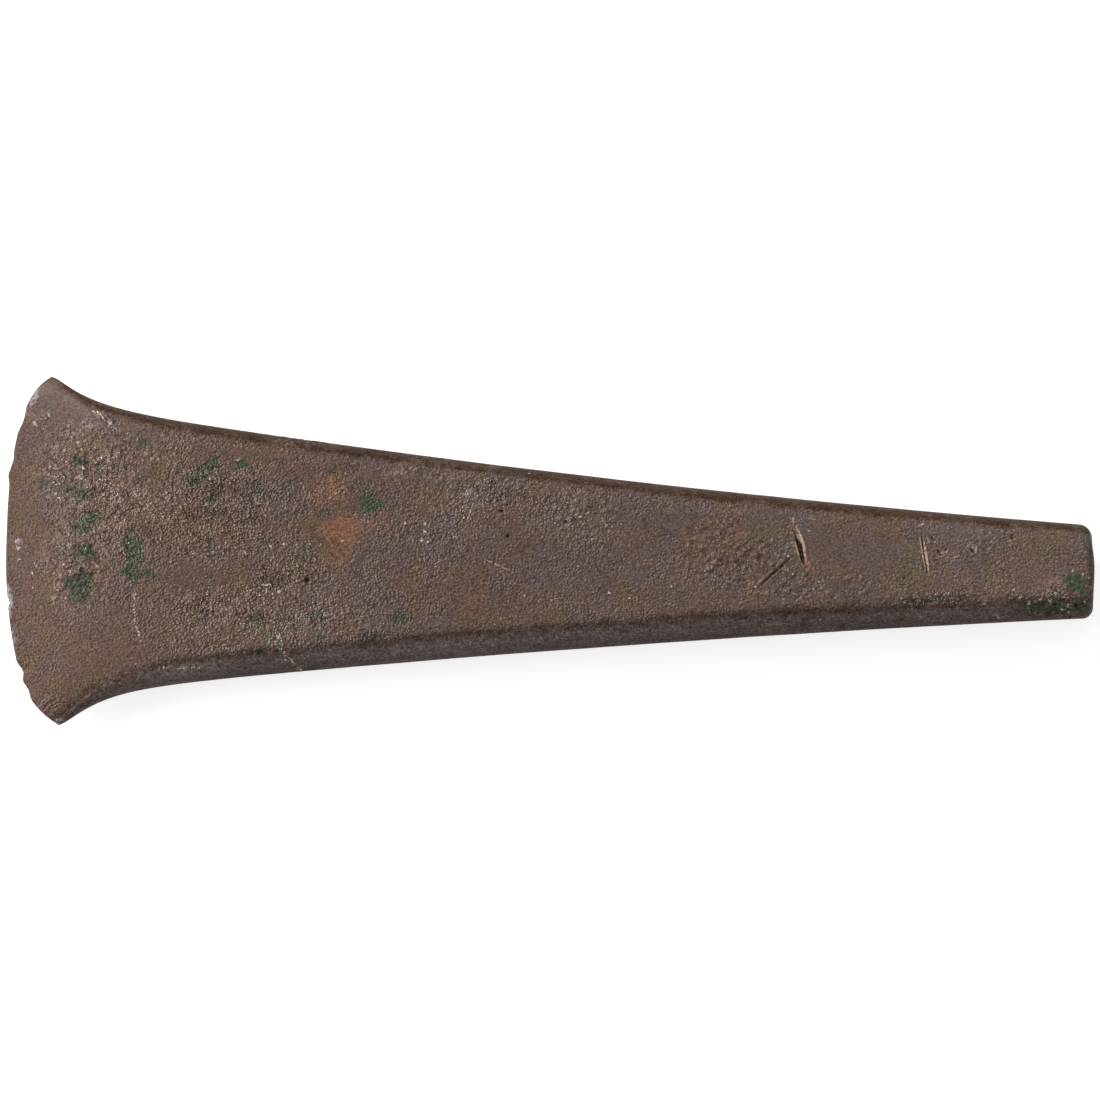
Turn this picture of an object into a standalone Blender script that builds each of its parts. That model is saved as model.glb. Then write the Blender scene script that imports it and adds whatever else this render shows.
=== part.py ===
# Flat copper axe head, hammered and corroded, lying on one of its two broad faces.
# Metres, +Z up. The length runs along X, from the cutting edge at -X to the butt at +X.
# The underside rests on z = 0. The far side is at +Y and the near side at -Y.
# A place along the axe is its setback: the distance behind the foremost point of the cutting edge.

import math
from dataclasses import dataclass

import bmesh
import bpy
from mathutils import Vector

# Widths and lengths, seen from above
LENGTH = 0.200
BLADE_WIDTH = 0.0654
NECK_WIDTH = 0.0467
NECK_OFFSET = 0.00015
NECK_SETBACK = 0.040
BUTT_WIDTH = 0.01715
BUTT_OFFSET = 0.0004
FAR_BUTT_BOW = 0.0005
NEAR_BUTT_BOW = 0.0001
FAR_BUTT_CORNER = 0.0025
NEAR_BUTT_CORNER = 0.0018

# The two long sides, which dip inwards between neck and butt and flare out into the horns
FAR_HOLLOW = 0.0014
NEAR_HOLLOW = 0.0010
FAR_FLARE = 0.0065
NEAR_FLARE = 0.00625
FAR_HORN_SETBACK = 0.0074
NEAR_HORN_SETBACK = 0.0106
FAR_HORN_ROUND = 0.0010
NEAR_HORN_ROUND = 0.0015

# The cutting edge: a shallow bow that turns back more steeply at each horn
FAR_EDGE_BOW = 0.0050
NEAR_EDGE_BOW = 0.0060
FAR_BOW_POWER = 3
NEAR_BOW_POWER = 2
FAR_TIP_POWER = 15
NEAR_TIP_POWER = 10
EDGE_ROUND = 0.00025

# Thicknesses and the lengths over which they change
THICKNESS = 0.0124
EDGE_THICKNESS = 0.0008
BUTT_THICKNESS = 0.0094
BEVEL_LENGTH = 0.050
BEVEL_POWER = 3
BUTT_TAPER_LENGTH = 0.062
BUTT_FACE_ROUND = 0.0016

# The narrow sides: one shallow arc between two softened creases
SIDE_BULGE = 0.0035
CREASE_SOFTNESS = 0.0007

# Damage along the cutting edge: place across the blade, half of its width, depth of the bite.
# A depth below zero is metal that was pushed out.
EDGE_DAMAGE = (
    (0.0245, 0.0030, 0.0004),
    (0.0172, 0.0014, 0.0002),
    (0.0140, 0.0022, -0.00035),
    (-0.0098, 0.0012, 0.0004),
    (-0.0229, 0.0021, 0.0007),
    (-0.0262, 0.0020, 0.0005),
)
DAMAGE_FADE = 0.0025

# The deep gash across the upper face: each end's distance from the butt and place across the axe
GASH_FAR_END = (0.0554, 0.0074)
GASH_NEAR_END = (0.0530, -0.0009)
GASH_WIDTH = 0.0011
GASH_DEPTH = 0.0009
GASH_LIFT = 0.0004

# Fineness of the mesh
BLADE_STEPS = 24
BODY_STEPS = 8
BUTT_STEPS = 4
HALF_FACE_LINES = 11
CREASE_STEPS = 2
ARC_STEPS = 6
GASH_STEPS = 10
STATION_CROWDING = 1.6
LINE_GAP = 0.012
SHARP_ANGLE = math.radians(30)

# Finish
PATINA = (0.135, 0.085, 0.062, 1.0)
PATINA_ROUGHNESS = 0.45
PATINA_METALLIC = 0.35


@dataclass
class Side:
    sign: int
    hollow: float
    flare: float
    horn_setback: float
    horn_round: float
    edge_bow: float
    bow_power: int
    tip_power: int
    butt_bow: float
    butt_corner: float


FAR = Side(1, FAR_HOLLOW, FAR_FLARE, FAR_HORN_SETBACK, FAR_HORN_ROUND,
           FAR_EDGE_BOW, FAR_BOW_POWER, FAR_TIP_POWER, FAR_BUTT_BOW, FAR_BUTT_CORNER)
NEAR = Side(-1, NEAR_HOLLOW, NEAR_FLARE, NEAR_HORN_SETBACK, NEAR_HORN_ROUND,
            NEAR_EDGE_BOW, NEAR_BOW_POWER, NEAR_TIP_POWER, NEAR_BUTT_BOW, NEAR_BUTT_CORNER)


# Outline seen from above

def body_half_width(side, setback):
    """Half width of the tapering body, without horn or butt corner."""
    share = (LENGTH - setback) / (LENGTH - NECK_SETBACK)
    butt = BUTT_WIDTH / 2 + side.sign * BUTT_OFFSET
    neck = NECK_WIDTH / 2 + side.sign * NECK_OFFSET
    dip = 4 * side.hollow * share * (1 - share)
    return butt + (neck - butt) * share - dip


def half_width(side, setback):
    """Half width with the flare into the horn, whose very tip is rounded off."""
    past_horn = setback - side.horn_setback
    reach = BLADE_WIDTH / 2 + side.horn_round - body_half_width(side, side.horn_setback)
    flare = reach * math.exp(-past_horn / side.flare)
    tip = side.horn_round * math.exp(-past_horn / side.horn_round)
    return body_half_width(side, setback) + flare - tip


def corner_inset(radius, station):
    """How far a rounding at the butt has drawn in from the straight."""
    depth = min(radius, max(0.0, station - (LENGTH - radius)))
    return radius - math.sqrt(radius ** 2 - depth ** 2)


def edge_setback(side, share):
    """Setback of the cutting edge at a share of the way from the middle to the horn."""
    tip = side.horn_setback - side.edge_bow
    return side.edge_bow * share ** side.bow_power + tip * share ** side.tip_power


def damage_depth(across):
    depth = 0.0
    for place, reach, bite in EDGE_DAMAGE:
        offset = abs(across - place) / reach
        if offset < 1:
            depth += bite * math.cos(math.pi / 2 * offset) ** 2
    return depth


def setback_at(station, line):
    """Where a lengthwise line crosses a station, which bends like the edge or the butt beside it."""
    side = FAR if line > 0 else NEAR
    bend = max(0.0, 1 - station / BEVEL_LENGTH) ** 2
    damage = damage_depth(line * BLADE_WIDTH / 2) * math.exp(-station / DAMAGE_FADE)
    by_butt = max(0.0, 1 - (LENGTH - station) / BUTT_WIDTH) ** 2
    bow = side.butt_bow * line ** 2 * by_butt
    return station + edge_setback(side, abs(line)) * bend + damage - bow


# Thickness, even about a middle plane

def height_of(station, setback):
    """Height of the upper face over the middle plane. The taper to the butt is one flat plane."""
    before_body = max(0.0, 1 - station / BEVEL_LENGTH)
    behind_body = max(0.0, 1 - (LENGTH - setback) / BUTT_TAPER_LENGTH)
    blade_loss = (THICKNESS - EDGE_THICKNESS) * before_body ** BEVEL_POWER
    butt_loss = (THICKNESS - BUTT_THICKNESS) * behind_body
    return (THICKNESS - blade_loss - butt_loss) / 2 - corner_inset(BUTT_FACE_ROUND, station)


def world(setback, across, height):
    return Vector((setback - LENGTH / 2, across, height + THICKNESS / 2))


# The closed sections of the loft

def side_strip(side, station):
    """Points down the narrow side, from the upper face's rim to the underside's."""
    setback = setback_at(station, side.sign)
    height = height_of(station, setback)
    fullness = 2 * height / THICKNESS
    bulge = SIDE_BULGE * fullness
    soft = CREASE_SOFTNESS * fullness
    radius = (height ** 2 + bulge ** 2) / (2 * bulge)
    outer = half_width(side, setback) - corner_inset(side.butt_corner, station)
    arc_angle = math.asin(height / radius) - soft / radius
    arc = []
    for step in range(ARC_STEPS + 1):
        angle = arc_angle * (1 - 2 * step / ARC_STEPS)
        arc.append(Vector((outer - radius * (1 - math.cos(angle)), radius * math.sin(angle))))

    crease = Vector((outer - bulge, height))
    rim = crease - Vector((soft, 0))
    upper = []
    for step in range(CREASE_STEPS):
        t = step / CREASE_STEPS
        upper.append(rim * (1 - t) ** 2 + crease * 2 * t * (1 - t) + arc[0] * t ** 2)
    under = [Vector((point.x, -point.y)) for point in reversed(upper)]
    return [world(setback, side.sign * point.x, point.y) for point in upper + arc + under]


def face_row(station, lines, level):
    """Points across the upper face (level 1), the underside (-1) or the middle of the cutting edge (0)."""
    far_rim = side_strip(FAR, station)[0].y
    near_rim = side_strip(NEAR, station)[0].y
    row = []
    for line in lines:
        setback = setback_at(station, line)
        across = line * far_rim if line > 0 else -line * near_rim
        row.append(world(setback, across, level * height_of(station, setback)))
    return row


def section(station, lines):
    """A ring of points: over the upper face, down the far side, back below and up the near side."""
    upper = face_row(station, lines, 1)
    under = face_row(station, lines, -1)
    return upper + side_strip(FAR, station) + under[::-1] + side_strip(NEAR, station)[::-1]


def face_lines():
    """Lengthwise lines as shares of the half width, closer together by the horns and at damage."""
    wanted = set()
    for step in range(1 - HALF_FACE_LINES, HALF_FACE_LINES):
        wanted.add(math.sin(math.pi / 2 * step / HALF_FACE_LINES))
    for place, reach, _ in EDGE_DAMAGE:
        for offset in (-1, -0.4, 0.4, 1):
            wanted.add((place + offset * reach) / (BLADE_WIDTH / 2))
    lines = []
    for line in sorted(wanted):
        if abs(line) < 1 - LINE_GAP and (not lines or line - lines[-1] > LINE_GAP):
            lines.append(line)
    return lines


def stations():
    """Places of the sections, crowded towards the cutting edge and round the butt's corners."""
    taper_start = LENGTH - BUTT_TAPER_LENGTH
    corner = max(FAR_BUTT_CORNER, NEAR_BUTT_CORNER)
    places = []
    for step in range(BLADE_STEPS):
        share = (step / BLADE_STEPS) ** STATION_CROWDING
        places.append(EDGE_ROUND + (BEVEL_LENGTH - EDGE_ROUND) * share)
    for start, end in ((BEVEL_LENGTH, taper_start), (taper_start, LENGTH - corner)):
        for step in range(BODY_STEPS):
            places.append(start + (end - start) * step / BODY_STEPS)
    for step in range(BUTT_STEPS + 1):
        angle = math.pi / 2 * step / BUTT_STEPS
        places.append(LENGTH - corner * (1 - math.sin(angle)))
    return places


# Meshes

def loft_mesh():
    lines = face_lines()
    places = stations()
    count = len(lines)
    strip = 2 * CREASE_STEPS + ARC_STEPS + 1
    bm = bmesh.new()
    rings = [[bm.verts.new(point) for point in section(place, lines)] for place in places]
    for ring, following in zip(rings, rings[1:]):
        for i in range(len(ring)):
            j = (i + 1) % len(ring)
            bm.faces.new((ring[i], ring[j], following[j], following[i]))

    # The cutting edge is rounded by one more row of points in front of the first section
    first = rings[0]
    upper = first[:count]
    far_side = first[count:count + strip]
    under = first[count + strip:2 * count + strip][::-1]
    near_side = first[2 * count + strip:][::-1]
    front = [bm.verts.new(point) for point in face_row(0.0, lines, 0)]
    for i in range(count - 1):
        bm.faces.new((upper[i], upper[i + 1], front[i + 1], front[i]))
        bm.faces.new((under[i], under[i + 1], front[i + 1], front[i]))
    half = strip // 2
    for side, end in ((near_side, 0), (far_side, -1)):
        bm.faces.new([upper[end]] + side[:half + 1] + [front[end]])
        bm.faces.new([under[end]] + side[half:][::-1] + [front[end]])

    # The butt's end is slightly domed
    last = rings[-1]
    across = (last[count].co.y + last[-1].co.y) / 2
    centre = bm.verts.new(world(LENGTH, across, 0.0))
    for i in range(len(last)):
        bm.faces.new((last[i], last[(i + 1) % len(last)], centre))

    bmesh.ops.recalc_face_normals(bm, faces=bm.faces)
    mesh = bpy.data.meshes.new("axe_head")
    bm.to_mesh(mesh)
    bm.free()
    return mesh


def gash_mesh():
    """A narrow wedge, pointed at both ends, that stands a little out of the upper face."""
    far = Vector((LENGTH - GASH_FAR_END[0], GASH_FAR_END[1]))
    near = Vector((LENGTH - GASH_NEAR_END[0], GASH_NEAR_END[1]))
    aside = (near - far).orthogonal().normalized()
    bm = bmesh.new()
    rings = []
    for step in range(GASH_STEPS + 1):
        share = step / GASH_STEPS
        fullness = math.sin(math.pi * share)
        centre = far.lerp(near, share)
        face = height_of(centre.x, centre.x)
        if step in (0, GASH_STEPS):
            rings.append([bm.verts.new(world(centre.x, centre.y, face + GASH_LIFT))] * 3)
            continue
        half = GASH_WIDTH / 2 * fullness * (1 + GASH_LIFT / GASH_DEPTH)
        left = centre + aside * half
        right = centre - aside * half
        rings.append([
            bm.verts.new(world(left.x, left.y, face + GASH_LIFT)),
            bm.verts.new(world(right.x, right.y, face + GASH_LIFT)),
            bm.verts.new(world(centre.x, centre.y, face - GASH_DEPTH * fullness)),
        ])
    for ring, following in zip(rings, rings[1:]):
        for i in range(3):
            j = (i + 1) % 3
            corners = [ring[i], ring[j], following[j], following[i]]
            bm.faces.new(list(dict.fromkeys(corners)))
    bmesh.ops.recalc_face_normals(bm, faces=bm.faces)
    mesh = bpy.data.meshes.new("gash_cutter")
    bm.to_mesh(mesh)
    bm.free()
    return mesh


def patina():
    material = bpy.data.materials.new("brown_patina")
    material.use_nodes = True
    shader = material.node_tree.nodes["Principled BSDF"]
    shader.inputs["Base Color"].default_value = PATINA
    shader.inputs["Roughness"].default_value = PATINA_ROUGHNESS
    shader.inputs["Metallic"].default_value = PATINA_METALLIC
    return material


def add_object(name, mesh):
    thing = bpy.data.objects.new(name, mesh)
    bpy.context.scene.collection.objects.link(thing)
    return thing


def build():
    for thing in list(bpy.data.objects):
        bpy.data.objects.remove(thing, do_unlink=True)

    axe = add_object("axe_head", loft_mesh())
    axe.data.materials.append(patina())

    cutter = add_object("gash_cutter", gash_mesh())
    cutter.hide_render = True
    cutter.display_type = "WIRE"

    gash = axe.modifiers.new("gash", "BOOLEAN")
    gash.operation = "DIFFERENCE"
    gash.solver = "EXACT"
    gash.object = cutter

    axe.data.shade_smooth()
    axe.data.set_sharp_from_angle(angle=SHARP_ANGLE)


build()
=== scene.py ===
# The looks of the copper axe head: a fine mesh of its worn, corroded surface, its patina,
# and the pale floor, soft light and camera of the photograph.
# Metres, +Z up. The cutting edge is at -X, the butt at +X, the far side at +Y.

import functools
import itertools
import math
from dataclasses import dataclass
from types import SimpleNamespace

import bmesh
import bpy
import numpy as np
from mathutils import Matrix, Vector


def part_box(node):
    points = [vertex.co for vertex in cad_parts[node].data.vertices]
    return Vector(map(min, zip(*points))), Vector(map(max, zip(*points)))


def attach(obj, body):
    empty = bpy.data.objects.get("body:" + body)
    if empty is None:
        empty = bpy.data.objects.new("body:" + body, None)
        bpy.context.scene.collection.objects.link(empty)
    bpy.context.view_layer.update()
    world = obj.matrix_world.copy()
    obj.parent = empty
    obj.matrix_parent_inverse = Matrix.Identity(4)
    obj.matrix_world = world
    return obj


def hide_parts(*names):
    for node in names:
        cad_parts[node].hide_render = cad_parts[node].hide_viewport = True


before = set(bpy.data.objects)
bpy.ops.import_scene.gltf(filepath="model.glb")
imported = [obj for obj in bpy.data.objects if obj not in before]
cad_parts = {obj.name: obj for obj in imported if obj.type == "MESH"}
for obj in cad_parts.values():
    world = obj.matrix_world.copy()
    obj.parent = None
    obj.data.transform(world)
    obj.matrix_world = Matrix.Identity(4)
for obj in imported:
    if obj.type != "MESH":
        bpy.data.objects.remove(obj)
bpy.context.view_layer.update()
node_low, node_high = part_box("axe_head")

MM = 0.001

# Outline and thickness of the solid that this surface replaces
LENGTH = node_high.x - node_low.x
THICKNESS = node_high.z - node_low.z
BLADE_WIDTH = 0.0654
NECK_WIDTH = 0.0467
NECK_OFFSET = 0.00015
NECK_SETBACK = 0.040
BUTT_WIDTH = 0.01715
BUTT_OFFSET = 0.0004
EDGE_THICKNESS = 0.0008
BUTT_THICKNESS = 0.0094
BEVEL_LENGTH = 0.050
BEVEL_POWER = 3
BUTT_TAPER_LENGTH = 0.062
BUTT_FACE_ROUND = 0.0016
SIDE_BULGE = 0.0029
CREASE_SOFTNESS = 0.0008
NOSE_ROUND = 0.0004

# Damage along the cutting edge: place across the blade, half of its width, depth of the bite
EDGE_DAMAGE = (
    (0.0245, 0.0030, 0.0004),
    (0.0172, 0.0014, 0.0002),
    (0.0140, 0.0022, -0.00035),
    (-0.0098, 0.0012, 0.0004),
    (-0.0229, 0.0021, 0.0007),
    (-0.0262, 0.0020, 0.0005),
)
DAMAGE_FADE = 0.0025

# Fineness of the surface
STATION_STEP = 0.26 * MM
FACE_STEPS = 170
CREASE_STEPS = 7
ARC_STEPS = 18
NOSE_STEPS = 6
BUTT_ROUND_STEPS = 14
CAP_STEPS = 22
MOST_TRIANGLES = 196000
MERGE_DISTANCE = 0.002 * MM

# The photograph's view: its size, and the place and scale of the axe head in it
PHOTO_SIZE = 1100
PHOTO_LEFT = 6.0
PHOTO_AXIS = 556.5
PHOTO_SCALE = 200 * MM / 1088
# Pixels past a spot's half width in which it is still worked out
SPOT_MARGIN = 80
# The camera, turned like the one of the photograph
CAMERA_TILT = math.radians(12)
CAMERA_ROLL = math.radians(1.29)
CAMERA_LENS = 600
CAMERA_SENSOR = 36
CAMERA_CLIP = (0.01, 20)
TILT_COS = math.cos(CAMERA_TILT)
TILT_SIN = math.sin(CAMERA_TILT)
ROLL_COS = math.cos(CAMERA_ROLL)
ROLL_SIN = math.sin(CAMERA_ROLL)

# Floor and lights
FLOOR_HALF_WIDTH = 4.0
FLOOR_LEVEL = -0.02 * MM
FLOOR_GLOW = 0.74
SKY_STRENGTH = 0.52
BACK_LIGHT_POWER = 2.2
BACK_LIGHT_SPREAD = math.radians(18)
BACK_LIGHT_FROM = Vector((-0.47, 0.66, 0.58))
BLADE_LIGHT_POWER = 0.39
BLADE_LIGHT_SIZE = 0.14
BLADE_LIGHT_PLACE = Vector((-0.25, 0.002, 0.10))
BLADE_LIGHT_TARGET = Vector((-0.075, 0, 0.010))


@dataclass
class Side:
    """The shape of one narrow side, in metres: +1 is the far side, -1 the near one."""
    sign: int
    hollow: float
    flare: float
    horn_setback: float
    horn_round: float
    edge_bow: float
    bow_power: int
    tip_power: int
    butt_bow: float
    butt_corner: float


FAR = Side(1, 0.0014, 0.0065, 0.0074, 0.0010, 0.0050, 3, 15, 0.0005, 0.0025)
NEAR = Side(-1, 0.0010, 0.00625, 0.0106, 0.0015, 0.0060, 2, 10, 0.0001, 0.0018)

# Marks of the surface, placed by pixels of the photograph: across, down, half width, half height,
# strength, and a turn in degrees (anticlockwise) where there is one
GREEN_SPOTS = (
    (134, 551, 9, 16, 1.2), (132, 571, 10, 9, 1.2), (148, 574, 11, 5, 1), (147, 561, 5, 8, 0.5),
    (88, 519, 11, 7, 1.2, 20), (82, 527, 9, 6, 1.1, -20), (87, 549, 7, 5, 0.9), (94, 555, 6, 5, 0.9),
    (78, 582, 11, 8, 1.5, 20), (79, 592, 10, 9, 1.5), (73, 596, 6, 7, 1.1), (209, 466, 13, 6, 1.1, 35),
    (197, 481, 9, 6, 1, 30), (214, 499, 7, 6, 0.8), (222, 487, 4, 5, 0.5), (243, 463, 8, 6, 0.8),
    (80, 462, 11, 5, 0.9), (79, 493, 14, 6, 0.7, -15), (100, 465, 5, 5, 0.4), (143, 445, 7, 5, 0.6, 30),
    (41, 483, 9, 7, 0.5, 20), (139, 483, 9, 6, 0.4), (166, 563, 7, 7, 0.4), (63, 528, 6, 7, 0.4),
    (261, 492, 6, 5, 0.6), (290, 481, 7, 7, 0.45), (334, 468, 5, 6, 0.5), (372, 505, 11, 7, 1, -10),
    (365, 494, 8, 7, 0.6), (330, 513, 13, 8, 0.4), (316, 616, 7, 6, 0.5), (352, 617, 7, 5, 0.5),
    (403, 617, 12, 6, 0.8), (258, 620, 7, 6, 0.5), (286, 611, 9, 7, 0.4), (280, 638, 4, 6, 0.5),
    (320, 637, 9, 4, 0.6), (371, 637, 13, 6, 0.5), (261, 652, 10, 4, 0.5, 5), (296, 660, 10, 4, 0.5, 5),
    (211, 536, 5, 5, 0.4), (303, 561, 5, 4, 0.4), (269, 577, 5, 4, 0.4), (545, 507, 10, 6, 0.3),
    (706, 576, 6, 8, 0.3), (1078, 582, 10, 9, 1), (1066, 577, 8, 5, 0.7), (1084, 594, 6, 6, 0.7),
    (1033, 606, 10, 5, 1.1), (1057, 608, 11, 5, 1.1), (1079, 607, 11, 5, 1.2), (1079, 529, 10, 5, 0.5),
)
ORANGE_SPOTS = (
    (327, 492, 20, 17, 0.7), (343, 530, 22, 17, 1), (335, 551, 18, 12, 0.6), (374, 527, 20, 12, 0.45),
    (388, 520, 16, 18, 0.3), (624, 542, 15, 11, 0.35), (474, 596, 14, 8, 0.35), (291, 584, 4, 3, 0.9),
    (120, 480, 26, 18, 0.26), (96, 552, 14, 10, 0.2), (128, 526, 16, 8, 0.3), (60, 620, 14, 12, 0.25),
    (826, 596, 12, 9, 0.35), (735, 535, 9, 6, 0.3), (1000, 586, 30, 8, 0.25), (270, 600, 80, 40, 0.08),
    (811, 566, 7, 4, 0.35, -40),
)
LILAC_SPOTS = (
    (494, 488, 17, 15, 1), (436, 552, 12, 10, 1), (451, 521, 8, 10, 0.8), (470, 545, 30, 14, 0.45),
    (540, 570, 45, 16, 0.55), (580, 510, 25, 14, 0.4), (441, 623, 20, 8, 0.6), (98, 418, 22, 12, 0.7, 20),
    (70, 430, 18, 14, 0.4), (180, 478, 10, 14, 0.45), (290, 500, 18, 16, 0.4), (300, 550, 20, 10, 0.45),
    (318, 590, 14, 10, 0.3), (363, 588, 14, 10, 0.5), (400, 560, 12, 12, 0.4), (640, 575, 22, 12, 0.5),
    (620, 520, 30, 12, 0.4), (700, 510, 18, 9, 0.5), (770, 515, 30, 8, 0.6), (865, 550, 35, 14, 0.55),
    (780, 545, 20, 9, 0.4), (960, 532, 40, 10, 0.5), (915, 562, 12, 5, 0.5), (110, 620, 30, 25, 0.3),
    (60, 520, 20, 14, 0.3), (985, 560, 120, 50, 0.16), (830, 555, 80, 45, 0.1),
)
# Brighter metal at the cutting edge: bare where rubbed, and a painted highlight on its rim
GLINT_SPOTS = (
    (33, 398, 4, 13, 1, -25), (26, 414, 3, 7, 0.7, -15), (10, 600, 4, 20, 1, 4), (14, 635, 3, 12, 0.8, 6),
    (20, 660, 3, 8, 0.6, 10), (44, 702, 4, 22, 0.7, -38), (60, 720, 8, 4, 0.8, 20),
    (19, 545, 3, 9, 0.9, -10), (8, 470, 2.5, 14, 0.5), (34, 575, 3, 12, 0.4),
)
# Thin marks, widest in their middle: start, end, half width in pixels
COPPER_STROKES = (
    ((792, 517), (798.6, 540), 1.9), ((795.5, 526), (805.8, 552), 1.9), ((802.5, 544), (806, 562), 1.3),
    ((794, 539), (799.8, 561), 1.2), ((918.6, 533.5), (924.8, 572), 0.8), ((923, 539), (928.5, 575), 1.3),
    ((484, 559), (513, 572), 0.45),
)
# Near-black in the gash's core, scratches and small pits: painted shade in these hollows, with dirt
DARK_STROKES = (
    ((794.6, 526), (803.8, 565.5), 2.6), ((792, 556.5), (756, 589), 1),
    ((920.8, 534.5), (926.8, 573.5), 1.1), ((930.5, 536), (933.5, 541), 1.1),
    ((936.5, 549.5), (940, 555), 1.2), ((969.5, 549), (973, 552.5), 1), ((1010, 536), (1013, 541), 0.8),
)
# Reddish copper at the gash's end
RED_STROKES = (
    ((803.5, 560.5), (812, 567), 2),
)
# Short raised marks, painted lighter on top as highlight
RIDGE_STROKES = (
    ((926.5, 536), (929.5, 544), 1.4), ((933, 540), (937, 544.5), 1.2), ((936, 559), (943, 556), 1.4),
    ((941.5, 557.5), (948.5, 549), 1.5), ((952, 558), (960, 555.5), 1.2),
    ((970.5, 544.5), (977, 548.5), 1.4), ((976, 545), (975, 554.5), 1.5), ((965, 547), (971, 544.5), 1.1),
    ((986, 551), (992, 547), 1.1), ((1006, 541.5), (1017, 539), 1.1), ((91, 408.5), (96.5, 413), 1.1),
    ((96, 410), (103, 416), 1.3), ((101, 414.5), (106, 421.5), 1), ((107, 420), (112, 425.5), 1),
    ((113, 424), (118, 431), 1), ((32, 420), (37, 425.5), 1.4), ((47, 411), (50, 417), 1.1),
)
# Spots painted near-black
DARK_SPOTS = (
    (261, 652, 12, 4, 0.9, 5), (370, 638, 12, 5, 0.9, 5), (935, 600, 38, 7, 0.65, 2),
    (1048, 612, 30, 4, 0.6), (1044, 604, 8, 4, 0.6), (1072, 600, 10, 4, 0.6), (137, 673, 6, 4, 0.9, 20),
    (980, 606, 40, 4, 0.5), (696, 517, 10, 9, 0.4), (430, 476, 3, 8, 0.6),
)
# Corrosion that has eaten deep
DEEP_SPOTS = (
    (935, 600, 38, 6, 0.65, 2), (912, 603, 14, 5, 0.8), (1050, 606, 32, 8, 1), (1076, 598, 16, 8, 0.5),
    (980, 606, 20, 4, 0.4), (261, 652, 11, 4, 0.5, 5), (370, 638, 13, 4, 0.5, 5),
)
# Where the grain is rougher, or below zero smoother
ROUGH_SPOTS = (
    (90, 475, 45, 35, 0.5), (150, 520, 80, 60, 0.6), (230, 510, 70, 55, 0.8), (240, 610, 70, 45, 0.7),
    (330, 605, 60, 40, 0.7), (490, 485, 25, 20, 0.8), (455, 520, 25, 20, 0.7), (425, 535, 14, 18, 0.8),
    (560, 520, 60, 25, 0.5), (735, 570, 70, 30, 0.25, 10), (580, 610, 60, 15, 0.4), (360, 515, 20, 12, 0.4),
    (935, 598, 40, 8, 0.9), (1050, 603, 34, 12, 1), (340, 540, 26, 20, -0.45), (110, 650, 60, 42, -0.5),
    (95, 412, 44, 26, -0.95, -25), (35, 520, 22, 120, -0.45), (70, 690, 40, 30, -0.3),
    (830, 540, 40, 22, -0.15), (200, 580, 35, 16, -0.25),
)
# Islands of crust
CRUST_SPOTS = (
    (86, 474, 36, 36, 1), (80, 566, 26, 36, 1), (112, 440, 26, 12, 1, -30), (106, 417, 14, 6, 1, -40),
    (40, 422, 8, 8, 0.9), (56, 466, 16, 20, 0.8), (150, 500, 26, 16, 0.6), (160, 455, 26, 14, 0.5),
    (110, 515, 20, 20, 0.6), (300, 440, 30, 10, 0.4), (420, 470, 30, 12, 0.5), (732, 563, 46, 30, 0.3),
    (796, 584, 28, 16, 0.3), (470, 500, 40, 26, 0.5), (575, 512, 44, 22, 0.35), (280, 620, 70, 24, 0.4),
    (1066, 588, 22, 12, 0.7),
)
# Round lumps of crust
LUMP_SPOTS = (
    (735, 560, 46, 26, 1), (790, 583, 28, 14, 1), (715, 528, 22, 10, 0.7), (500, 492, 26, 18, 0.6),
    (590, 512, 26, 18, 0.7), (850, 585, 30, 10, 0.5), (90, 470, 34, 30, 0.5), (86, 562, 22, 24, 0.5),
)
# Places worn or left smooth
SMOOTH_SPOTS = (
    (84, 406, 44, 22, 0.85, -30), (60, 395, 24, 20, 0.85), (110, 655, 60, 30, 0.3, 10),
    (340, 530, 30, 24, 0.6), (200, 575, 40, 14, 0.5), (250, 458, 60, 8, 0.4, -9), (640, 540, 30, 24, 0.3),
    (850, 545, 50, 24, 0.5), (760, 520, 26, 10, 0.4),
)
# Painted light and shade on the brown along the axe head: pixel across, factor
SHADE_PLACES = (0, 20, 60, 130, 250, 450, 600, 760, 870, 1000, 1086, 1091)
SHADE_TONES = (0.51, 0.57, 0.66, 0.70, 0.76, 0.80, 0.84, 0.91, 0.96, 1.07, 1.04, 0.50)
# Painted light and shade down the near side, darker low down: by share of the thickness, and along it
SIDE_LEVELS = (0.0, 0.35, 0.60, 0.78, 0.88, 0.97)
SIDE_SHADE_TONES = (0.56, 0.49, 0.62, 1.12, 1.52, 1.35)
SIDE_SHADE_PLACES = (180, 280, 420, 560, 700, 850, 930, 1094)
SIDE_SHADE_ALONG = (1.10, 0.78, 1.05, 0.92, 0.88, 0.76, 0.96, 1.0)
# The same painted light and shade along the far side
FAR_SHADE_PLACES = (150, 280, 420, 560, 700, 830)
FAR_SHADE_TONES = (0.92, 0.78, 0.74, 0.82, 0.92, 0.97)
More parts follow.
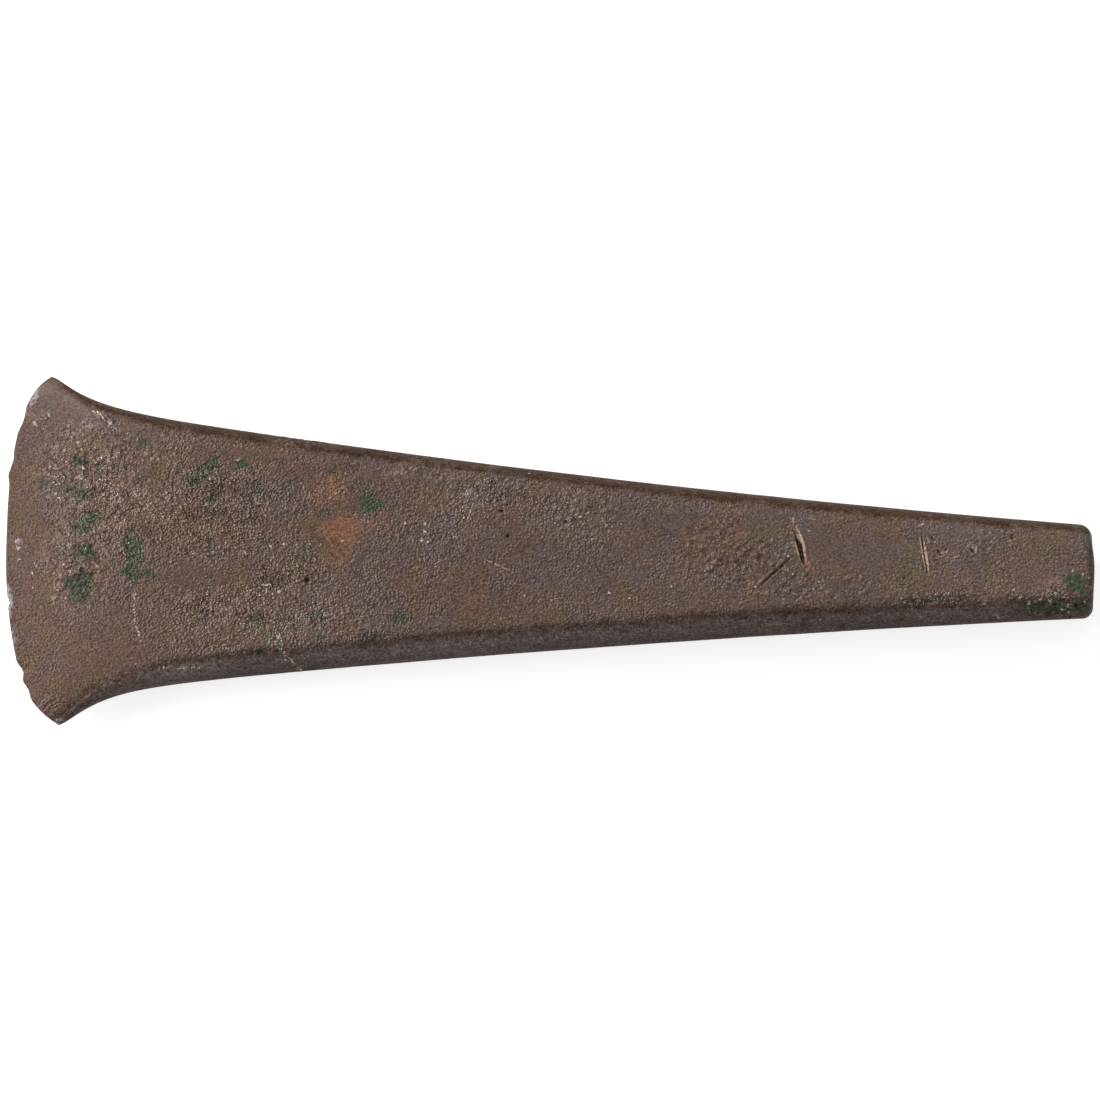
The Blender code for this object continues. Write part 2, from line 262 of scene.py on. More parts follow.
# Pale grains of crust: across, down, radius
PALE_GRAINS = (
    (196.5, 554, 2), (213, 552.5, 1.6), (245, 552.7, 1.8), (261, 544.5, 1.2), (271, 546, 1.6),
    (284, 544.3, 1.6), (296, 544, 2), (311, 544, 1.7), (321, 544.5, 1.3), (343.5, 541, 1.8),
    (280, 591.5, 2.1), (263, 584.5, 1.6), (270, 584.5, 1.3), (248, 595, 1.3), (255, 592, 1.1),
    (136, 594, 1.6), (134.5, 606, 1.1), (135, 612, 1.3), (136, 620, 1.3), (137, 628, 1.5), (139, 631, 1.3),
    (142, 640, 1.2), (17, 541, 2.6), (19, 548, 2.2), (20, 560, 1.8), (33, 573, 1.6), (34, 588, 1.4),
    (238.5, 460, 1.8), (210, 478, 1.4), (34, 423, 1.6), (98, 412, 1.4), (111, 423, 1.2), (425, 524, 1.8),
    (425, 532, 1.9), (422, 541, 1.7), (428.5, 542, 2), (406, 523, 1.6), (417, 522, 1.2), (455, 537, 1.6),
    (503, 484, 1.8), (497, 480, 1.4), (606, 525, 2.2), (609, 531, 1.8), (580, 517, 1.3), (583, 540, 1.4),
    (524, 596, 1.5), (609, 593, 1.7), (629, 598, 1.4), (577, 581, 1.1), (279.5, 637, 2.4), (281, 645, 1.6),
    (285, 652, 1.8), (286, 659, 1.6), (293, 661, 1.4), (302, 668, 1.2), (160, 668, 1.4), (165, 667, 1.6),
    (171, 666.5, 1.4), (182, 667, 1.2), (195, 666, 1.4), (201, 667.5, 1.5), (208, 669, 1.2),
    (144, 453, 1.4), (158, 447, 1.2), (72, 437, 1.4), (78, 442, 1.4), (50, 467, 1.5), (56, 493, 1.8),
    (59, 498, 1.6), (66, 461, 1.3), (86, 549, 1.8), (36, 565, 1.6), (534, 475, 1.4), (529, 473, 1.3),
    (557, 638, 1.6), (542, 639, 1.4), (813, 519, 1.6), (809, 531, 1.4), (789, 556, 1.8), (787, 570, 2),
    (792, 574, 1.6), (795.5, 594, 1.6), (813, 589, 1.4), (818, 582, 1.3), (754, 560, 1.4), (750, 571, 1.6),
    (755, 587, 1.6), (711, 567, 1.6), (671, 586, 1.4), (922, 524.5, 1.8), (941, 553, 1.4), (972, 548, 1.6),
    (1020.5, 597, 2.4), (1028, 603, 2.2), (1040, 605.5, 1.6), (1048.5, 600.5, 2.2), (1050, 594, 1.4),
    (1061, 609, 1.8), (1067, 605.5, 2.2), (1068, 612, 1.5), (1013, 590, 1.8), (1084, 602, 1.5),
    (1088, 578, 1.5), (1072, 571, 1.5), (984, 604, 1.5), (998, 618, 1.3), (1082, 575, 1.8),
)
# Thin pale marks: start, end, half width in pixels, strength
PALE_LINES = (
    ((135.5, 592), (134.5, 612), 0.9, 0.4), ((134.5, 612), (138, 628), 1, 0.55),
    ((138, 628), (142.5, 641), 1, 0.55), ((279.5, 634), (283, 652), 1.6, 0.5),
    ((283, 652), (303, 670), 1.4, 0.45), ((244, 593), (272, 583.5), 1.2, 0.4),
    # The second mark here, on the far horn, is a painted highlight on small lumps
    ((160, 668), (208, 667), 1.2, 0.45), ((96, 411), (112, 424), 1.2, 0.3),
)
# Holes: across, down, radius, depth in millimetres
PITS = (
    (307.7, 579.7, 2.8, 0.55), (317, 604, 1.6, 0.25), (325, 604, 1.6, 0.25), (221, 604, 1.4, 0.2),
    (210, 604, 1.3, 0.2), (501.5, 511, 1.8, 0.4), (507.5, 505, 1.5, 0.35), (508, 536, 2, 0.45),
    (566, 522, 1.8, 0.3), (544, 522, 1.4, 0.2), (541, 488, 1.2, 0.2), (599, 638, 1.6, 0.25),
    (499, 646, 1.2, 0.2), (931, 537, 3.2, 0.13), (936, 540, 2.4, 0.12), (937, 553, 3.6, 0.13),
    (944, 556, 2.4, 0.12), (972, 550, 3.2, 0.13), (968, 558, 2.8, 0.12), (995, 546, 2.6, 0.12),
    (1012, 537, 3.4, 0.12), (985, 551, 2.4, 0.1), (162, 527, 1.3, 0.2), (170, 525, 1.3, 0.2),
    (176, 521, 1.2, 0.2), (183, 489, 1.2, 0.15), (240, 517, 1.2, 0.2), (303, 569, 1.4, 0.2),
)
# Scratches: start, end, width in pixels, depth in millimetres
SCRATCHES = (
    ((791, 557), (757.5, 587.5), 1.7, 0.24), ((920.2, 536.5), (927, 571.5), 1.4, 0.16),
    ((486, 560), (511, 571), 1, -0.04), ((158, 447), (162, 455), 1, 0.05),
    ((900, 560), (912, 563), 1, 0.03), ((795, 592), (797, 598), 1.2, -0.08),
    ((988, 555), (1000, 550), 1.4, 0.06), ((970, 543.5), (976, 546), 1.7, -0.12),
    ((976, 546), (976.5, 553), 1.7, -0.12), ((928, 542), (936, 543.5), 1.5, -0.12),
    ((933, 559), (941, 557), 1.5, -0.12), ((965, 562), (973, 560), 1.4, -0.2),
)
# The deep gash: its ends, half width in pixels, depth and height of its lip in millimetres
GASH_START = (793.5, 521.0)
GASH_END = (803.5, 566.0)
GASH_HALF_WIDTH = 3.0
GASH_DEPTH = 0.80
GASH_LIP = 0.22

# Layers of noise: height in millimetres, grain, seed
BROAD_NOISE = ((0.11, 17, 11), (0.05, 6, 12))
GRAIN_NOISE = ((0.070, 0.85, 21), (0.040, 2.2, 23))
HOLE_NOISE = ((0.12, 0.8, 35),)
SIDE_NOISE = ((0.014, 0.9, 51),)
# The same with shares as heights
ISLAND_NOISE = ((1, 1.2, 37), (0.3, 2.6, 38))
PATCHY_NOISE = ((0.70, 7, 41), (0.35, 3, 43))
# Layers of bumps: height in millimetres, grain, seed, share that is there, radius as a share of the grain
GRAIN_BUMPS = ((-0.10, 1, 24, 0.5, 0.40), (0.08, 0.9, 25, 0.4, 0.40))
CRUMB_BUMPS = ((0.16, 2.4, 31, 0.35, 0.18),)
HOLE_BUMPS = ((-0.55, 1.3, 33, 0.7, 0.55), (0.36, 1, 34, 0.5, 0.45))
# The same with a share as height
LUMP_BUMPS = ((1.5, 1.5, 45, 0.55, 0.40),)
# Heights in millimetres
LUMP_HEIGHT = 0.42
CRUST_HEIGHT = 0.17
PALE_GRAIN_HEIGHT = 0.10

# Odd factors and shifts that mix the bits of a cell's place and of the seed
CELL_FACTORS = (374761393, 668265263, 2246822519)
SEED_FACTOR = 3266489917
BIT_MIXES = ((15, 2654435761), (13, 2246822519))
LAST_SHIFT = 16
# Steps of the seed between the three parts of a vector
VECTOR_SEEDS = (0, 101, 211)
# Brings the noise up to its full range
NOISE_GAIN = 1.6


# Seeded noise. Grains are in millimetres

def lattice_hash(cells, seed):
    """A random 32-bit number for each whole-number cell."""
    cells = cells.astype(np.int64).astype(np.uint32)
    x, y, z = (cells[..., axis] * np.uint32(factor) for axis, factor in enumerate(CELL_FACTORS))
    mixed = (x ^ y ^ z) + np.uint32(seed * SEED_FACTOR % 2**32)
    for shift, factor in BIT_MIXES:
        mixed = (mixed ^ (mixed >> np.uint32(shift))) * np.uint32(factor)
    return mixed ^ (mixed >> np.uint32(LAST_SHIFT))


def lattice_value(cells, seed):
    """A random share from 0 to 1 for each cell."""
    return lattice_hash(cells, seed) / 2**32


def lattice_vector(cells, seed):
    """Three random shares for each cell."""
    return np.stack([lattice_value(cells, seed + step) for step in VECTOR_SEEDS], axis=-1)


def smooth_noise(points, grain, seed):
    """Gradient noise, from about -1 to 1, with lumps about one grain across."""
    scaled = points / (np.asarray(grain) * MM)
    base = np.floor(scaled)
    part = scaled - base
    ease = part ** 3 * (part * (part * 6 - 15) + 10)
    total = np.zeros(points.shape[:-1])
    for corner in itertools.product((0, 1), repeat=3):
        offset = np.array(corner)
        slope = lattice_vector(base + offset, seed) * 2 - 1
        weight = np.prod(np.where(offset, ease, 1 - ease), axis=-1)
        total += weight * np.sum(slope * (part - offset), axis=-1)
    return total * NOISE_GAIN


def scattered_bumps(points, grain, seed, share, radius):
    """Round bumps from 0 to 1 at scattered centres, of which only a share is there."""
    scaled = points / (grain * MM)
    base = np.floor(scaled)
    height = np.zeros(points.shape[:-1])
    for corner in itertools.product((-1, 0, 1), repeat=3):
        cells = base + np.array(corner)
        centre = cells + 0.15 + 0.7 * lattice_vector(cells, seed)
        there = lattice_value(cells, seed + 7) < share
        size = radius * (0.6 + 0.6 * lattice_value(cells, seed + 13))
        apart = np.sqrt(np.sum((scaled - centre) ** 2, axis=-1)) / size
        height = np.maximum(height, np.where(there, np.clip(1 - apart ** 2, 0, 1), 0))
    return height


def noise_layers(points, layers):
    return sum(height * smooth_noise(points, grain, seed) for height, grain, seed in layers)


def bump_layers(points, layers):
    return sum(height * scattered_bumps(points, *layer) for height, *layer in layers)


def ramp(value, start, end):
    """Smooth step from 0 at start to 1 at end."""
    share = np.clip((value - start) / (end - start), 0, 1)
    return share * share * (3 - 2 * share)


def bell(value, middle, width):
    """1 in the middle, falling off smoothly to both sides."""
    return np.exp(-((value - middle) / width) ** 2)


# Outline of the solid, for whole arrays of points. A setback is a distance from the cutting edge's front

def body_half_width(side, setback):
    """Half of the width without the blade's flare."""
    share = (LENGTH - setback) / (LENGTH - NECK_SETBACK)
    butt = BUTT_WIDTH / 2 + side.sign * BUTT_OFFSET
    neck = NECK_WIDTH / 2 + side.sign * NECK_OFFSET
    return butt + (neck - butt) * share - 4 * side.hollow * share * (1 - share)


def half_width(side, setback):
    """Half of the width, out to the horn's tip."""
    past_horn = setback - side.horn_setback
    reach = BLADE_WIDTH / 2 + side.horn_round - body_half_width(side, side.horn_setback)
    flare = reach * np.exp(-past_horn / side.flare)
    tip = side.horn_round * np.exp(-past_horn / side.horn_round)
    return body_half_width(side, setback) + flare - tip


def corner_inset(radius, station):
    """How far a rounded corner at the butt draws in."""
    depth = np.clip(station - (LENGTH - radius), 0, radius)
    return radius - np.sqrt(radius ** 2 - depth ** 2)


def damage_depth(across):
    """How deep the bites in the cutting edge are."""
    depth = np.zeros_like(across)
    for place, reach, bite in EDGE_DAMAGE:
        offset = np.minimum(np.abs(across - place) / reach, 1)
        depth += bite * np.cos(math.pi / 2 * offset) ** 2
    return depth


def setback_at(side, station, share):
    """Where a lengthwise line, at a share of the way out to a side, crosses a station."""
    bend = np.clip(1 - station / BEVEL_LENGTH, 0, 1) ** 2
    tip = side.horn_setback - side.edge_bow
    edge = side.edge_bow * share ** side.bow_power + tip * share ** side.tip_power
    damage = damage_depth(side.sign * share * BLADE_WIDTH / 2) * np.exp(-station / DAMAGE_FADE)
    by_butt = np.clip(1 - (LENGTH - station) / BUTT_WIDTH, 0, 1) ** 2
    return station + edge * bend + damage - side.butt_bow * share ** 2 * by_butt


def height_of(station, setback):
    """Height of the upper face over the middle plane."""
    before_body = np.clip(1 - station / BEVEL_LENGTH, 0, 1)
    behind_body = np.clip(1 - (LENGTH - setback) / BUTT_TAPER_LENGTH, 0, 1)
    blade_loss = (THICKNESS - EDGE_THICKNESS) * before_body ** BEVEL_POWER
    butt_loss = (THICKNESS - BUTT_THICKNESS) * behind_body
    height = (THICKNESS - blade_loss - butt_loss) / 2 - corner_inset(BUTT_FACE_ROUND, station)
    into_nose = np.clip(1 - station / NOSE_ROUND, 0, 1)
    return height * np.sqrt(1 - into_nose ** 2)


# The fine loft: rings of points at stations along the axe

def side_strip(side, station):
    """Points down a narrow side, upper rim to lower rim: setback, across and height by station."""
    station = station[:, None]
    setback = setback_at(side, station, 1)
    height = np.maximum(height_of(station, setback), 1e-9)
    fullness = 2 * height / THICKNESS
    bulge = SIDE_BULGE * fullness
    soft = CREASE_SOFTNESS * fullness
    radius = (height ** 2 + bulge ** 2) / (2 * bulge)
    outer = half_width(side, setback) - corner_inset(side.butt_corner, station)
    arc_angle = np.arcsin(np.clip(height / radius, -1, 1)) - soft / radius

    angle = arc_angle * np.linspace(1, -1, ARC_STEPS + 1)
    arc_across = outer - radius * (1 - np.cos(angle))
    arc_level = radius * np.sin(angle)
    t = np.linspace(0, 1, CREASE_STEPS, endpoint=False)
    crease = outer - bulge
    rim = (crease - soft) * (1 - t) ** 2 + crease * 2 * t * (1 - t) + arc_across[:, :1] * t ** 2
    rim_level = height * (1 - t ** 2) + arc_level[:, :1] * t ** 2

    across = np.concatenate([rim, arc_across, rim[:, ::-1]], axis=1)
    level = np.concatenate([rim_level, arc_level, -rim_level[:, ::-1]], axis=1)
    setback = np.broadcast_to(setback, across.shape)
    return np.stack([setback, side.sign * across, level], axis=-1)


def half_face(side, station, shares, rim):
    """Points from the middle out to one rim of the upper face."""
    grid_station = station[:, None]
    setback = setback_at(side, grid_station, shares[None, :])
    height = height_of(grid_station, setback)
    return np.stack([setback, shares[None, :] * rim[:, None], height], axis=-1)


def station_places():
    """Distances along the axe: close together in the nose, even along the body, close at the butt."""
    nose = NOSE_ROUND * (1 - np.cos(np.linspace(0, math.pi / 2, NOSE_STEPS, endpoint=False)))
    corner = max(FAR.butt_corner, NEAR.butt_corner)
    count = int((LENGTH - corner - NOSE_ROUND) / STATION_STEP)
    body = np.linspace(NOSE_ROUND, LENGTH - corner, count, endpoint=False)
    turn = LENGTH - corner * (1 - np.sin(np.linspace(0, math.pi / 2, BUTT_ROUND_STEPS)))
    return np.concatenate([nose, body, turn])


def fine_rings():
    """Rings over the upper face, down the far side, back below and up the near side."""
    station = station_places()
    far = side_strip(FAR, station)
    near = side_strip(NEAR, station)
    shares = np.linspace(0, 1, FACE_STEPS // 2, endpoint=False)
    far_half = half_face(FAR, station, shares, far[:, 0, 1])
    near_half = half_face(NEAR, station, shares[1:], near[:, 0, 1])
    upper = np.concatenate([near_half[:, ::-1], far_half], axis=1)
    under = upper[:, ::-2] * (1, 1, -1)
    rings = np.concatenate([upper, far, under, near[:, ::-1]], axis=1)

    centre = rings[-1].mean(axis=0)
    centre[0] = LENGTH
    caps = [rings[-1] + (centre - rings[-1]) * t for t in np.linspace(0, 1, CAP_STEPS + 1)[1:-1]]
    rings = np.concatenate([rings, np.stack(caps)], axis=0)
    return rings + (-LENGTH / 2, 0, THICKNESS / 2)


def ring_normals(rings):
    """Outward directions at the rings' points."""
    along = np.gradient(rings, axis=0)
    around = np.roll(rings, -1, axis=1) - np.roll(rings, 1, axis=1)
    normals = np.cross(along, around)
    normals /= np.maximum(np.linalg.norm(normals, axis=-1, keepdims=True), 1e-12)
    normals[0] = (-1, 0, 0)
    return normals


# Where a point of the surface lies

def setback_of(points):
    return points[..., 0] + LENGTH / 2


def photo_place(points):
    """The pixel of the photograph in which a point shows."""
    along = setback_of(points)
    up = points[..., 1] * TILT_COS + points[..., 2] * TILT_SIN
    right = along * ROLL_COS + up * ROLL_SIN
    rise = up * ROLL_COS - along * ROLL_SIN
    return PHOTO_LEFT + right / PHOTO_SCALE, PHOTO_AXIS - rise / PHOTO_SCALE


def spot_seen(pixel, level=None):
    """The place that shows in a pixel of the photograph, at a level or else on the upper face."""
    right = (pixel[0] - PHOTO_LEFT) * PHOTO_SCALE
    rise = (PHOTO_AXIS - pixel[1]) * PHOTO_SCALE
    along = right * ROLL_COS - rise * ROLL_SIN
    up = right * ROLL_SIN + rise * ROLL_COS
    if level is None:
        level = THICKNESS / 2 + float(height_of(along, along))
    across = (up - level * TILT_SIN) / TILT_COS
    return Vector((along - LENGTH / 2, across, level))


def inside_crease(points):
    """Distance in metres from the crease inwards, below zero on the narrow sides."""
    setback = setback_of(points)
    across = points[..., 1]
    far = half_width(FAR, np.maximum(setback, FAR.horn_setback))
    near = half_width(NEAR, np.maximum(setback, NEAR.horn_setback))
    half = np.where(across > 0, far, near)
    thickness = 2 * height_of(setback, setback)
    return half - SIDE_BULGE * thickness / THICKNESS - np.abs(across)


def squared_reach(place, x, y, half_x, half_y, turn=0):
    """Squared distance from a spot's middle, as a multiple of the way to its rim."""
    right = place[0] - x
    rise = y - place[1]
    cos = math.cos(math.radians(turn))
    sin = math.sin(math.radians(turn))
    return ((right * cos + rise * sin) / half_x) ** 2 + ((rise * cos - right * sin) / half_y) ** 2


def spot_mask(place, spots, softness):
    """Strongest of the spots at each point."""
    across, down = place
    mask = np.zeros_like(across)
    for x, y, half_x, half_y, strength, *turn in spots:
        near_it = (np.abs(across - x) < half_x + SPOT_MARGIN) & (np.abs(down - y) < half_y + SPOT_MARGIN)
        close = across[near_it], down[near_it]
        reach = np.sqrt(squared_reach(close, x, y, half_x, half_y, *turn))
        level = strength * ramp(reach, 1 + softness, 1 - softness)
        mask[near_it] = np.maximum(mask[near_it], level)
    return mask


def rough_mask(place):
    """Sum of the rough and smooth spots, each fading out slowly."""
    return sum(strength * np.exp(-squared_reach(place, x, y, half_x, half_y, *turn))
               for x, y, half_x, half_y, strength, *turn in ROUGH_SPOTS)


def line_offset(place, start, end):
    """Share of the way along a line, and the distance to the right of it, in pixels."""
    way = np.subtract(end, start)
    length = np.hypot(*way)
    dx = place[0] - start[0]
    dy = place[1] - start[1]
    along = (dx * way[0] + dy * way[1]) / length ** 2
    aside = (dx * way[1] - dy * way[0]) / length
    return along, aside


def line_ends(along, out, inside):
    """1 along a line, fading out between places just beyond its ends and just inside them."""
    return ramp(along, -out, inside) * ramp(along, 1 + out, 1 - inside)


def strongest(masks):
    """The largest of several masks at each point."""
    return functools.reduce(np.maximum, masks)


def line_mask(place, start, end, half, strength):
    """A thin line that fades out at its ends and edges."""
    along, aside = line_offset(place, start, end)
    return strength * line_ends(along, 0.06, 0.10) * ramp(np.abs(aside), 1.7 * half, 0.4 * half)


def disc(place, x, y, radius, start, end):
    """0 outside of a round mark and 1 inside it, from and to a share of its radius."""
    return ramp(np.hypot(place[0] - x, place[1] - y) / radius, start, end)


# Relief, in millimetres outwards

def crust_relief(points, place):
    """Low islands of crust with steep rims."""
    islands = ramp(noise_layers(points, ISLAND_NOISE), 0.12, 0.34)
    return CRUST_HEIGHT * spot_mask(place, CRUST_SPOTS, 0.8) * islands


def lump_relief(points, place):
    """Flat-topped lumps standing close together."""
    lumps = np.minimum(bump_layers(points, LUMP_BUMPS), 1)
    return LUMP_HEIGHT * spot_mask(place, LUMP_SPOTS, 0.7) * lumps


def corroded_relief(points, place):
    """Deep, crusty holes where the corrosion has eaten in."""
    eaten = spot_mask(place, DEEP_SPOTS, 0.6)
    return eaten * (bump_layers(points, HOLE_BUMPS) + noise_layers(points, HOLE_NOISE))


def pit_relief(place):
    """The single holes."""
    return -strongest(deep * disc(place, x, y, radius, 1.25, 0.45) for x, y, radius, deep in PITS)


def pale_grain_mask(place):
    """1 in the middle of each pale grain."""
    return strongest(disc(place, *grain, 1.3, 0.2) for grain in PALE_GRAINS)


def scratch_relief(place):
    """Grooves with low lips; a depth below zero is a ridge."""
    relief = np.zeros_like(place[0])
    for start, end, width, deep in SCRATCHES:
        along, aside = line_offset(place, start, end)
        groove = np.clip(1 - np.abs(aside) / width, 0, 1)
        lips = 0.35 * bell(np.abs(aside), 1.5 * width, 0.6 * width)
        relief += deep * line_ends(along, 0.02, 0.12) * (lips - groove)
    return relief


def gash_relief(place):
    """The deep gash: a wedge-shaped cut with curled lips, the higher one on its right."""
    along, aside = line_offset(place, GASH_START, GASH_END)
    full = np.clip(4 * along * (1 - along), 0, 1) ** 0.5
    half = GASH_HALF_WIDTH * full + 0.01
    groove = np.clip(1 - np.abs(aside) / half, 0, 1)
    right = bell(-aside, 1.25 * half, 1.4) * ramp(along, 0, 0.2) * ramp(along, 0.95, 0.7)
    left = bell(aside, 1.2 * half, 1.2) * ramp(along, 0.3, 0.6) * ramp(along, 0.95, 0.75)
    return full * (-GASH_DEPTH * groove + GASH_LIP * (right + 0.6 * left))


def face_share(points):
    """1 on the two broad faces, 0 on the narrow sides and the butt's end."""
    setback = setback_of(points)
    face = ramp(inside_crease(points), -1.8 * MM, 0.6 * MM)
    face = np.maximum(face, ramp(setback, 6 * MM, 2 * MM))
    return face * ramp(setback, LENGTH - 0.2 * MM, LENGTH - MM)


def coarseness(points):
    """How strong the grain is at each point."""
    place = photo_place(points)
    patchy = 0.85 + noise_layers(points, PATCHY_NOISE)
    along = 0.28 + 0.20 * ramp(place[0], 470, 380) + 0.1 * smooth_noise(points, 20, 42)
    shown = np.clip((along + rough_mask(place)) * patchy, 0.08, 1.5)
    shown = shown * (1 - 0.85 * spot_mask(place, SMOOTH_SPOTS, 0.9))
    hidden = np.clip(0.6 * patchy, 0.2, 1)
    upper = points[..., 2] > THICKNESS / 2
    near_edge = 0.55 + 0.45 * ramp(setback_of(points), 0, 8 * MM)
    return face_share(points) * np.where(upper, shown, hidden) * near_edge


def surface_relief(points):
    """All relief of the surface, in metres outwards."""
    place = photo_place(points)
    upper = ramp(points[..., 2], 0.50 * THICKNESS, 0.56 * THICKNESS)
    near_side = ramp(points[..., 1], 0, -MM) * ramp(points[..., 2], 0.2 * THICKNESS, 0.3 * THICKNESS)
    shown = np.maximum(upper, near_side)
    face = face_share(points)
    strength = coarseness(points)
    away_from_edge = ramp(setback_of(points), 0, 5 * MM)

    grain = strength * (noise_layers(points, GRAIN_NOISE) + bump_layers(points, GRAIN_BUMPS))
    relief = noise_layers(points, BROAD_NOISE) * (0.35 + 0.65 * face) * away_from_edge
    relief += grain * (0.4 + 0.6 * away_from_edge)
    relief += strength * upper * bump_layers(points, CRUMB_BUMPS)
    relief += noise_layers(points, SIDE_NOISE) * (1 - face)
    relief += shown * corroded_relief(points, place)
    relief += upper * (crust_relief(points, place) + lump_relief(points, place))
    relief += upper * (pit_relief(place) + scratch_relief(place) + gash_relief(place))
    relief += shown * PALE_GRAIN_HEIGHT * pale_grain_mask(place)
    return relief * MM


# The mesh of the worn surface

def put(name, data):
    """Add an object to the scene."""
    thing = bpy.data.objects.new(name, data)
    bpy.context.scene.collection.objects.link(thing)
    return thing


def ring_mesh(rings):
    """Closed mesh through the rings, joined up at the cutting edge and at the butt's middle."""
    count, around = rings.shape[:2]
    corners = np.arange(count * around).reshape(count, around)
    turned = np.roll(corners, -1, axis=1)
    quads = np.stack([corners[:-1], turned[:-1], turned[1:], corners[1:]], axis=-1).reshape(-1, 4)
    centre = count * around
    fans = np.stack([corners[-1], turned[-1], np.full(around, centre)], axis=-1)
    points = np.concatenate([rings.reshape(-1, 3), rings[-1].mean(axis=0, keepdims=True)])
    mesh = bpy.data.meshes.new("axe_surface")
    mesh.from_pydata(points.tolist(), [], quads.tolist() + fans.tolist())
    bm = bmesh.new()
    bm.from_mesh(mesh)
    bmesh.ops.remove_doubles(bm, verts=bm.verts, dist=MERGE_DISTANCE)
    bmesh.ops.recalc_face_normals(bm, faces=bm.faces)
    bmesh.ops.triangulate(bm, faces=bm.faces)
    bm.to_mesh(mesh)
    bm.free()
    return mesh


def thinned(piece):
    """Take out triangles where the surface is smooth, until the mesh is within its limit."""
    decimate = piece.modifiers.new("thin", "DECIMATE")
    decimate.ratio = MOST_TRIANGLES / len(piece.data.polygons)
    depsgraph = bpy.context.evaluated_depsgraph_get()
    mesh = bpy.data.meshes.new_from_object(piece.evaluated_get(depsgraph))
    piece.modifiers.clear()
    piece.data = mesh
    mesh.shade_smooth()


def read_rows(items, name, kind, columns):
    """One attribute of all the items, a row for each."""
    flat = np.empty(len(items) * columns, dtype=kind)
    items.foreach_get(name, flat)
    return flat.reshape(-1, columns)


def neighbour_sum(edges, values):
    """Sum of the values at the neighbours of each vertex."""
    total = np.zeros_like(values)
    for here, there in (edges, edges[::-1]):
        np.add.at(total, here, values[there])
    return total


def hollowness(mesh, points):
    """How far each point lies below its neighbours, in millimetres."""
    edges = read_rows(mesh.edges, "vertices", np.int32, 2).T
    normals = read_rows(mesh.vertices, "normal", np.float32, 3).astype(float)
    count = np.maximum(neighbour_sum(edges, np.ones(len(points))), 1)
    mean = neighbour_sum(edges, points) / count[:, None]
    depth = np.sum((mean - points) * normals, axis=1) / MM
    return 0.5 * depth + 0.5 * neighbour_sum(edges, depth) / count


def shading_factors(points, place, inside, off_blade):
    """Painted light and shade: factors that make the brown lighter or darker on the faces and down the
    narrow sides.
    """
    face = np.interp(place[0], SHADE_PLACES, SHADE_TONES)
    streaks = 1 + 0.40 * smooth_noise(points, (3, 1, 0.8), 70)
    near_side = np.interp(points[:, 2] / THICKNESS, SIDE_LEVELS, SIDE_SHADE_TONES) * streaks
    near_side = near_side * np.interp(place[0], SIDE_SHADE_PLACES, SIDE_SHADE_ALONG)
    # Painted shade in a band along the far crease
    far_side = 0.22 * smooth_noise(points, 2.2, 71) - 0.15 * bell(inside, -0.35, 0.65)
    far_side = far_side + np.interp(place[0], FAR_SHADE_PLACES, FAR_SHADE_TONES)
    far = points[:, 1] > 0
    side = np.where(far, far_side, near_side)
    # Painted light on the face just inside the far crease
    face = face * np.where(far, 1 + 0.12 * bell(inside, 1.5, 1.2), 1)
    return face + (side - face) * ramp(inside, 0.5, -0.4) * off_blade


def ragged_place(points, place):
    """The pixels moved about by noise, so that spots get uneven rims."""
    shifts = (noise_layers(points, ((4.5, 2.6, seed), (5, 1.1, seed + 1))) for seed in (61, 64))
    return [pixel + shift for pixel, shift in zip(place, shifts)]


